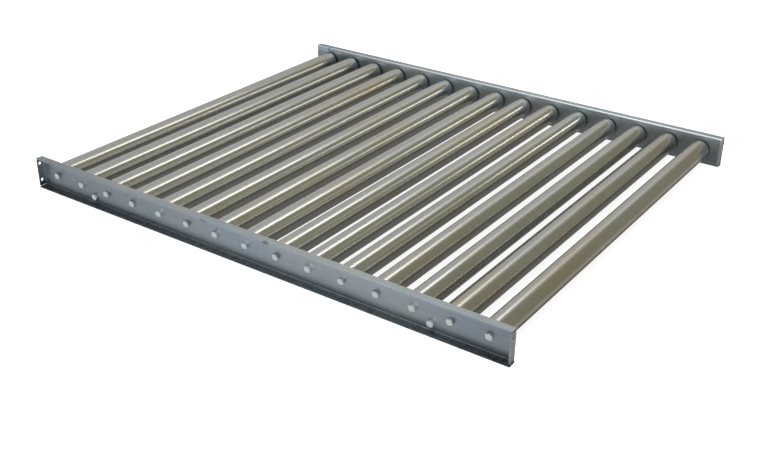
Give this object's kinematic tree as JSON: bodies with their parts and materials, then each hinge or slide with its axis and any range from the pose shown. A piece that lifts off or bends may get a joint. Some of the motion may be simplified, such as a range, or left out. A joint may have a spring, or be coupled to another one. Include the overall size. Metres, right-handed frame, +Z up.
{
  "type": "gravity roller conveyor",
  "caption": "Straight gravity roller conveyor bed: free-turning zinc-plated steel rollers on fixed axles between two folded side channels with end tabs for joining.",
  "frame": {"origin": "middle of the bed, on the plane of the lower flanges' undersides", "axes": "+X along the direction of travel, +Y across the bed to the far channel, +Z up"},
  "size_m": [1.525, 1.3, 0.09],
  "materials": {
    "channel_zinc": "zinc-plated folded sheet, satin, blue-grey",
    "tube_zinc": "zinc-plated tube, semi-bright, faint olive passivation",
    "bolt_zinc": "zinc-plated fastener, bright",
    "bar_steel": "cold-drawn bar, plain",
    "bearing_steel": "ground bearing steel",
    "housing_black": "moulded black polyamide, satin"
  },
  "bodies": {
    "frame": {"near_side_channel": "channel_zinc", "far_side_channel": "channel_zinc", "left_tie_bar": "bar_steel", "right_tie_bar": "bar_steel", "tie_bar_bolts": "bolt_zinc", "near_axle_bolts": "bolt_zinc", "far_axle_bolts": "bolt_zinc", "roller_axles": "bar_steel", "axle_spacers": "bar_steel", "bearing_inner_rings": "bearing_steel"},
    "roller_01": {"roller_01_tube": "tube_zinc", "roller_01_housings": "housing_black", "roller_01_bearings": "bearing_steel"},
    "roller_02": {"roller_02_tube": "tube_zinc", "roller_02_housings": "housing_black", "roller_02_bearings": "bearing_steel"},
    "roller_03": {"roller_03_tube": "tube_zinc", "roller_03_housings": "housing_black", "roller_03_bearings": "bearing_steel"},
    "roller_04": {"roller_04_tube": "tube_zinc", "roller_04_housings": "housing_black", "roller_04_bearings": "bearing_steel"},
    "roller_05": {"roller_05_tube": "tube_zinc", "roller_05_housings": "housing_black", "roller_05_bearings": "bearing_steel"},
    "roller_06": {"roller_06_tube": "tube_zinc", "roller_06_housings": "housing_black", "roller_06_bearings": "bearing_steel"},
    "roller_07": {"roller_07_tube": "tube_zinc", "roller_07_housings": "housing_black", "roller_07_bearings": "bearing_steel"},
    "roller_08": {"roller_08_tube": "tube_zinc", "roller_08_housings": "housing_black", "roller_08_bearings": "bearing_steel"},
    "roller_09": {"roller_09_tube": "tube_zinc", "roller_09_housings": "housing_black", "roller_09_bearings": "bearing_steel"},
    "roller_10": {"roller_10_tube": "tube_zinc", "roller_10_housings": "housing_black", "roller_10_bearings": "bearing_steel"},
    "roller_11": {"roller_11_tube": "tube_zinc", "roller_11_housings": "housing_black", "roller_11_bearings": "bearing_steel"},
    "roller_12": {"roller_12_tube": "tube_zinc", "roller_12_housings": "housing_black", "roller_12_bearings": "bearing_steel"},
    "roller_13": {"roller_13_tube": "tube_zinc", "roller_13_housings": "housing_black", "roller_13_bearings": "bearing_steel"},
    "roller_14": {"roller_14_tube": "tube_zinc", "roller_14_housings": "housing_black", "roller_14_bearings": "bearing_steel"},
    "roller_15": {"roller_15_tube": "tube_zinc", "roller_15_housings": "housing_black", "roller_15_bearings": "bearing_steel"}
  },
  "joints": [
    {"name": "roller_01_spin", "type": "hinge", "parent": "frame", "child": "roller_01", "pos_m": [-0.7, 0, 0.045], "axis": [0, 1, 0], "continuous": true},
    {"name": "roller_02_spin", "type": "hinge", "parent": "frame", "child": "roller_02", "pos_m": [-0.6, 0, 0.045], "axis": [0, 1, 0], "continuous": true},
    {"name": "roller_03_spin", "type": "hinge", "parent": "frame", "child": "roller_03", "pos_m": [-0.5, 0, 0.045], "axis": [0, 1, 0], "continuous": true},
    {"name": "roller_04_spin", "type": "hinge", "parent": "frame", "child": "roller_04", "pos_m": [-0.4, 0, 0.045], "axis": [0, 1, 0], "continuous": true},
    {"name": "roller_05_spin", "type": "hinge", "parent": "frame", "child": "roller_05", "pos_m": [-0.3, 0, 0.045], "axis": [0, 1, 0], "continuous": true},
    {"name": "roller_06_spin", "type": "hinge", "parent": "frame", "child": "roller_06", "pos_m": [-0.2, 0, 0.045], "axis": [0, 1, 0], "continuous": true},
    {"name": "roller_07_spin", "type": "hinge", "parent": "frame", "child": "roller_07", "pos_m": [-0.1, 0, 0.045], "axis": [0, 1, 0], "continuous": true},
    {"name": "roller_08_spin", "type": "hinge", "parent": "frame", "child": "roller_08", "pos_m": [0, 0, 0.045], "axis": [0, 1, 0], "continuous": true},
    {"name": "roller_09_spin", "type": "hinge", "parent": "frame", "child": "roller_09", "pos_m": [0.1, 0, 0.045], "axis": [0, 1, 0], "continuous": true},
    {"name": "roller_10_spin", "type": "hinge", "parent": "frame", "child": "roller_10", "pos_m": [0.2, 0, 0.045], "axis": [0, 1, 0], "continuous": true},
    {"name": "roller_11_spin", "type": "hinge", "parent": "frame", "child": "roller_11", "pos_m": [0.3, 0, 0.045], "axis": [0, 1, 0], "continuous": true},
    {"name": "roller_12_spin", "type": "hinge", "parent": "frame", "child": "roller_12", "pos_m": [0.4, 0, 0.045], "axis": [0, 1, 0], "continuous": true},
    {"name": "roller_13_spin", "type": "hinge", "parent": "frame", "child": "roller_13", "pos_m": [0.5, 0, 0.045], "axis": [0, 1, 0], "continuous": true},
    {"name": "roller_14_spin", "type": "hinge", "parent": "frame", "child": "roller_14", "pos_m": [0.6, 0, 0.045], "axis": [0, 1, 0], "continuous": true},
    {"name": "roller_15_spin", "type": "hinge", "parent": "frame", "child": "roller_15", "pos_m": [0.7, 0, 0.045], "axis": [0, 1, 0], "continuous": true}
  ]
}
